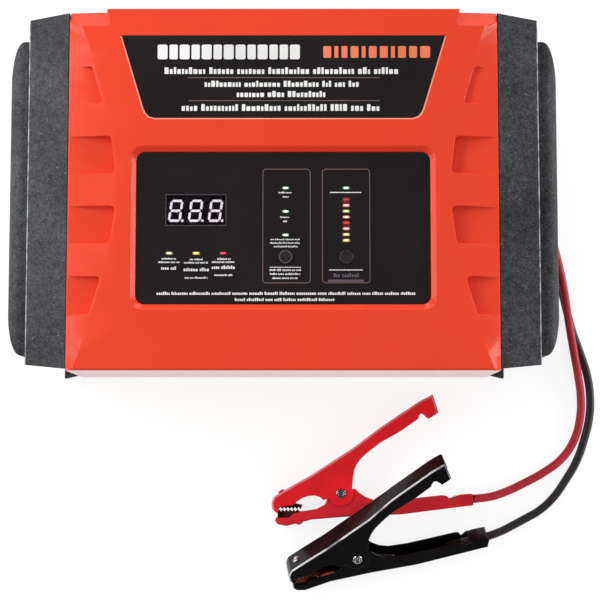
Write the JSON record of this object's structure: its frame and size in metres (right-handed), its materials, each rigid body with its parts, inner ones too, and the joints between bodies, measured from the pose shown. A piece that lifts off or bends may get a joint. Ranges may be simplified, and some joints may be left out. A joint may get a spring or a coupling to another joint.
{
  "type": "car battery charger",
  "caption": "Bench charger for car batteries: orange housing with grey end caps and bumpers, display panel, push buttons, fan, and red and black spring clamps on short leads.",
  "frame": {"origin": "on the surface that the unit stands on, under the middle of the housing, with the unit lying on its back", "axes": "+X across the unit to the side where the leads leave, +Y up the control panel, +Z out of the control panel"},
  "size_m": [0.3879, 0.3748, 0.092],
  "materials": {
    "orange_housing": "semi-gloss moulded plastic",
    "charcoal_end_cap": "finely grained moulded plastic",
    "panel_black": "satin printed plate",
    "smoked_window": "smoked clear plastic",
    "display_black": "matt black display block",
    "display_white": "white lit segments",
    "lamp_yellow_green": "lit clear plastic",
    "lamp_pale_green": "lit clear plastic",
    "lamp_red": "lit clear plastic",
    "button_black": "satin plastic",
    "circuit_board": "solder resist",
    "switch_black": "plain plastic",
    "screw_steel": "zinc plated",
    "core_iron": "dark ferrite core",
    "winding_tape": "taped winding",
    "sink_aluminium": "extruded, plain",
    "transistor_black": "moulded epoxy",
    "capacitor_sleeve": "shrunk sleeve",
    "choke_copper": "enamelled copper turns",
    "terminal_green": "plain plastic",
    "wire_insulation": "soft insulation, red above and black below",
    "fan_black": "plain plastic",
    "foot_rubber": "matt rubber",
    "bushing_rubber": "matt rubber",
    "lead_red": "soft cable sheath",
    "lead_black": "soft cable sheath",
    "clamp_red": "glossy coated steel",
    "clamp_black": "glossy coated steel",
    "jaw_copper": "copper plated strip",
    "rivet_steel": "plated rivet",
    "spring_steel": "plated spring wire"
  },
  "bodies": {
    "unit": {"front_cover": "orange_housing", "base_tray": "orange_housing", "left_end_cap": "charcoal_end_cap", "right_end_cap": "charcoal_end_cap", "header_plate": "panel_black", "panel_plate": "panel_black", "display_window": "smoked_window", "display_module": "display_black", "display_digits": "display_white", "status_lamps": "lamp_yellow_green", "mode_lamps": "lamp_pale_green", "gauge_lamps": "lamp_red", "panel_board": "circuit_board", "tact_switches": "switch_black", "panel_screws": "screw_steel", "main_board": "circuit_board", "board_screws": "screw_steel", "transformer_core": "core_iron", "transformer_winding": "winding_tape", "heat_sink": "sink_aluminium", "power_transistors": "transistor_black", "filter_capacitors": "capacitor_sleeve", "output_choke": "choke_copper", "output_terminals": "terminal_green", "output_wires": "wire_insulation", "fan_frame": "fan_black", "cover_screws": "screw_steel", "cap_screws": "screw_steel", "rubber_feet": "foot_rubber", "lead_bushing": "bushing_rubber", "mains_gland": "bushing_rubber", "red_lead": "lead_red", "black_lead": "lead_black", "red_lower_lever": "clamp_red", "red_lower_jaw": "jaw_copper", "red_pivot_rivet": "rivet_steel", "red_lower_jaw_rivet": "clamp_red", "red_spring": "spring_steel", "red_lead_lug": "jaw_copper", "black_lower_lever": "clamp_black", "black_lower_jaw": "jaw_copper", "black_pivot_rivet": "rivet_steel", "black_lower_jaw_rivet": "rivet_steel", "black_spring": "spring_steel", "black_lead_lug": "jaw_copper"},
    "fan_rotor": {"fan_rotor": "fan_black"},
    "mode_button": {"mode_button": "button_black"},
    "start_button": {"start_button": "button_black"},
    "red_upper": {"red_upper_lever": "clamp_red", "red_upper_jaw": "jaw_copper", "red_upper_jaw_rivet": "clamp_red"},
    "black_upper": {"black_upper_lever": "clamp_black", "black_upper_jaw": "jaw_copper", "black_upper_jaw_rivet": "rivet_steel"}
  },
  "joints": [
    {"name": "fan_spin", "type": "hinge", "parent": "unit", "child": "fan_rotor", "pos_m": [-0.06, 0.1052, 0.0358], "axis": [0, 1, 0], "continuous": true},
    {"name": "mode_press", "type": "slide", "parent": "unit", "child": "mode_button", "axis": [0, 0, -1], "range_m": [0, 0.0007], "stiffness_N_per_m": 600, "springref_m": -0.0005},
    {"name": "start_press", "type": "slide", "parent": "unit", "child": "start_button", "axis": [0, 0, -1], "range_m": [0, 0.0007], "stiffness_N_per_m": 600, "springref_m": -0.0005},
    {"name": "red_clamp_open", "type": "hinge", "parent": "unit", "child": "red_upper", "pos_m": [0.0378, -0.1934, 0.00925], "axis": [0, 0, -1], "range_deg": [0, 30], "stiffness_Nm_per_rad": 0.8, "springref_deg": -28.65, "deforming": ["red_spring"]},
    {"name": "black_clamp_open", "type": "hinge", "parent": "unit", "child": "black_upper", "pos_m": [0.04732, -0.23173, 0.016], "axis": [-0.1324, 0.5828, -0.8018], "range_deg": [0, 30], "stiffness_Nm_per_rad": 0.8, "springref_deg": -28.65, "deforming": ["black_spring"]}
  ]
}
